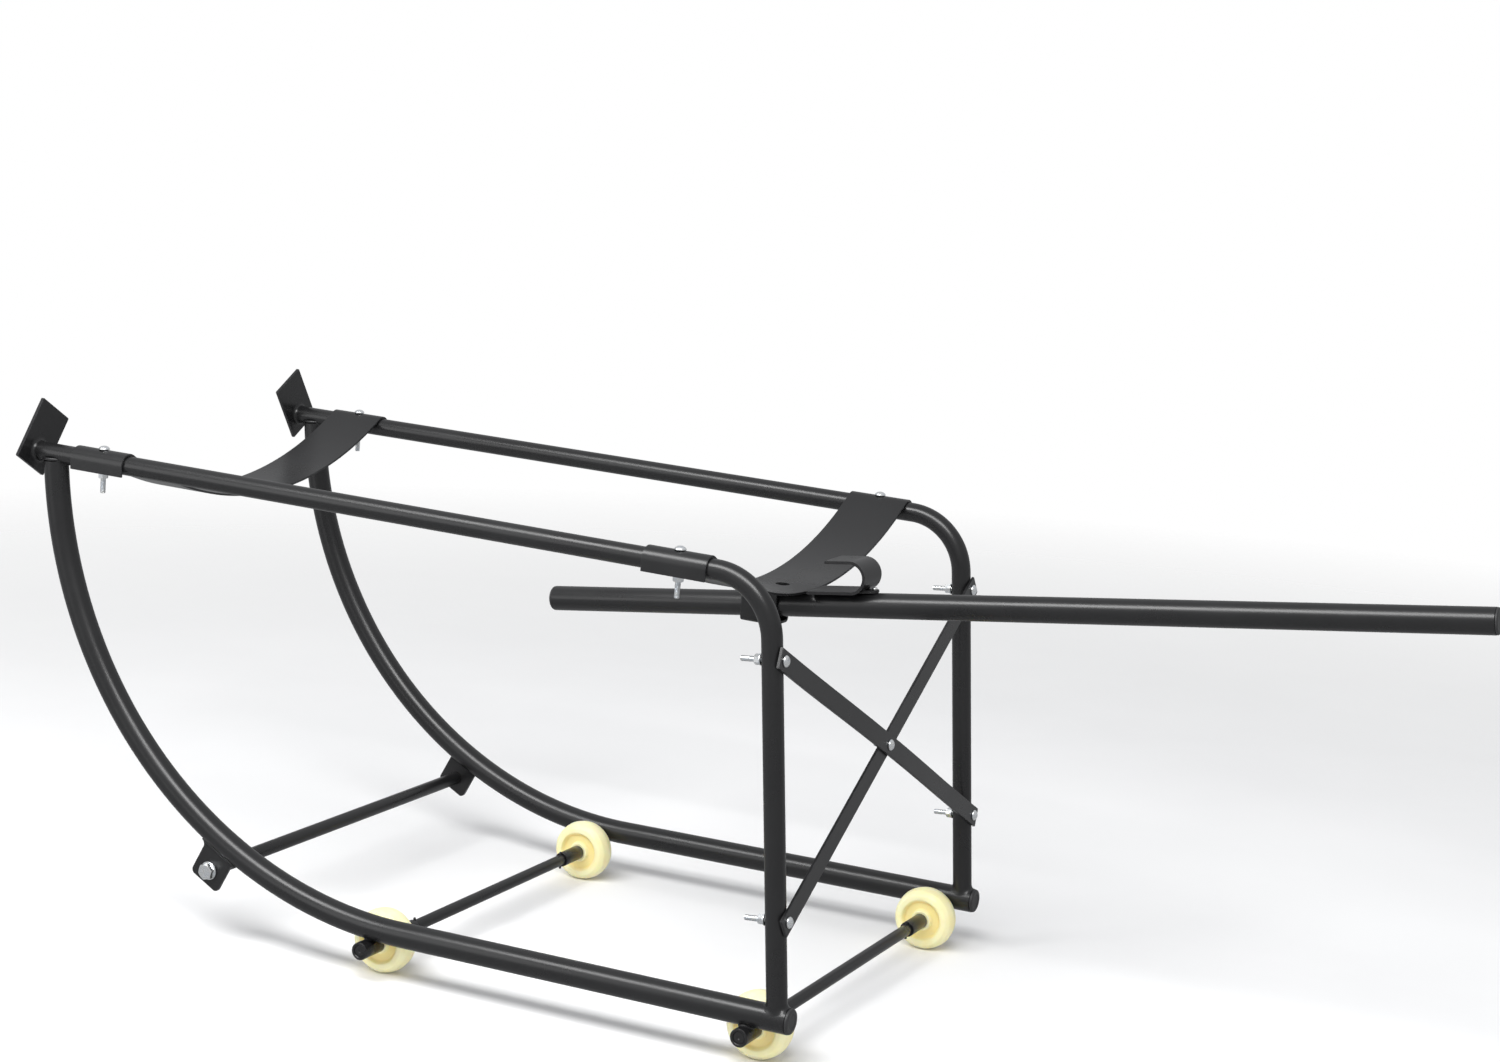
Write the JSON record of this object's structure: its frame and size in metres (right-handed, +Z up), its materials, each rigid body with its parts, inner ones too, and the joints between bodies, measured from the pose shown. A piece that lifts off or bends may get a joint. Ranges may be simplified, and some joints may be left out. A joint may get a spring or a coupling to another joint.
{
  "type": "drum dolly",
  "caption": "Wheeled tilting drum cradle: bent-tube side frames on rocker arcs, sheet saddles, a flat-bar X brace, nylon wheels and a pull-out lever whose hook catches the drum's rim.",
  "frame": {"origin": "on the floor, below the centre of the bounding box", "axes": "+X forwards, towards the grip end of the lever and the wheels by the upright posts; +Y to the left side; +Z up from the floor the wheels stand on"},
  "size_m": [1.6138, 0.5656, 0.5987],
  "materials": {
    "black_powder_coat": "satin black powder coat on steel",
    "zinc_fastener": "bright zinc plating",
    "nylon": "cream cast nylon, satin, slightly translucent",
    "end_plug": "black moulded polyethylene, fine satin"
  },
  "bodies": {
    "frame": {"axle_sleeve_front_left": "black_powder_coat", "axle_sleeve_front_right": "black_powder_coat", "axle_sleeve_rear_left": "black_powder_coat", "axle_sleeve_rear_right": "black_powder_coat", "brace_bar_front": "black_powder_coat", "brace_bar_rear": "black_powder_coat", "brace_bolt_bottom_left": "zinc_fastener", "brace_bolt_bottom_right": "zinc_fastener", "brace_bolt_centre": "zinc_fastener", "brace_bolt_top_left": "zinc_fastener", "brace_bolt_top_right": "zinc_fastener", "brace_nut_bottom_left": "zinc_fastener", "brace_nut_bottom_right": "zinc_fastener", "brace_nut_centre": "zinc_fastener", "brace_nut_top_left": "zinc_fastener", "brace_nut_top_right": "zinc_fastener", "cross_rod": "black_powder_coat", "lever_bracket": "black_powder_coat", "rocker_cap_left": "end_plug", "rocker_cap_right": "end_plug", "rocker_left": "black_powder_coat", "rocker_right": "black_powder_coat", "rod_bolt_left": "zinc_fastener", "rod_bolt_right": "zinc_fastener", "rod_tab_left": "black_powder_coat", "rod_tab_right": "black_powder_coat", "saddle_bolt_front_left": "zinc_fastener", "saddle_bolt_front_right": "zinc_fastener", "saddle_bolt_rear_left": "zinc_fastener", "saddle_bolt_rear_right": "zinc_fastener", "saddle_front": "black_powder_coat", "saddle_nut_front_left": "zinc_fastener", "saddle_nut_front_right": "zinc_fastener", "saddle_nut_rear_left": "zinc_fastener", "saddle_nut_rear_right": "zinc_fastener", "saddle_rear": "black_powder_coat", "stop_plate_left": "black_powder_coat", "stop_plate_right": "black_powder_coat", "top_rail_left": "black_powder_coat", "top_rail_right": "black_powder_coat"},
    "front_axle": {"axle_front": "black_powder_coat", "collar_front_right": "black_powder_coat", "collar_front_left": "black_powder_coat", "axle_pin_front_right": "black_powder_coat", "axle_pin_front_left": "black_powder_coat"},
    "rear_axle": {"axle_rear": "black_powder_coat", "collar_rear_right": "black_powder_coat", "collar_rear_left": "black_powder_coat", "axle_pin_rear_right": "black_powder_coat", "axle_pin_rear_left": "black_powder_coat"},
    "lever": {"lever_tube": "black_powder_coat", "lever_plug_front": "end_plug", "lever_plug_rear": "end_plug", "hook": "black_powder_coat", "hook_screw": "zinc_fastener"},
    "front_right_wheel": {"wheel_front_right": "nylon"},
    "front_left_wheel": {"wheel_front_left": "nylon"},
    "rear_right_wheel": {"wheel_rear_right": "nylon"},
    "rear_left_wheel": {"wheel_rear_left": "nylon"}
  },
  "joints": [
    {"name": "front_axle_spin", "type": "hinge", "parent": "frame", "child": "front_axle", "pos_m": [0.141, 0, 0.0365], "axis": [0, 1, 0], "continuous": true},
    {"name": "rear_axle_spin", "type": "hinge", "parent": "frame", "child": "rear_axle", "pos_m": [-0.3265, 0, 0.0365], "axis": [0, 1, 0], "continuous": true},
    {"name": "front_right_wheel_spin", "type": "hinge", "parent": "front_axle", "child": "front_right_wheel", "pos_m": [0.141, -0.218, 0.0365], "axis": [0, 1, 0], "continuous": true},
    {"name": "front_left_wheel_spin", "type": "hinge", "parent": "front_axle", "child": "front_left_wheel", "pos_m": [0.141, 0.218, 0.0365], "axis": [0, 1, 0], "continuous": true},
    {"name": "rear_right_wheel_spin", "type": "hinge", "parent": "rear_axle", "child": "rear_right_wheel", "pos_m": [-0.3265, -0.218, 0.0365], "axis": [0, 1, 0], "continuous": true},
    {"name": "rear_left_wheel_spin", "type": "hinge", "parent": "rear_axle", "child": "rear_left_wheel", "pos_m": [-0.3265, 0.218, 0.0365], "axis": [0, 1, 0], "continuous": true},
    {"name": "lever_slide", "type": "slide", "parent": "frame", "child": "lever", "axis": [0.9939, 0, 0.1103], "range_m": [0, 0.22]}
  ]
}
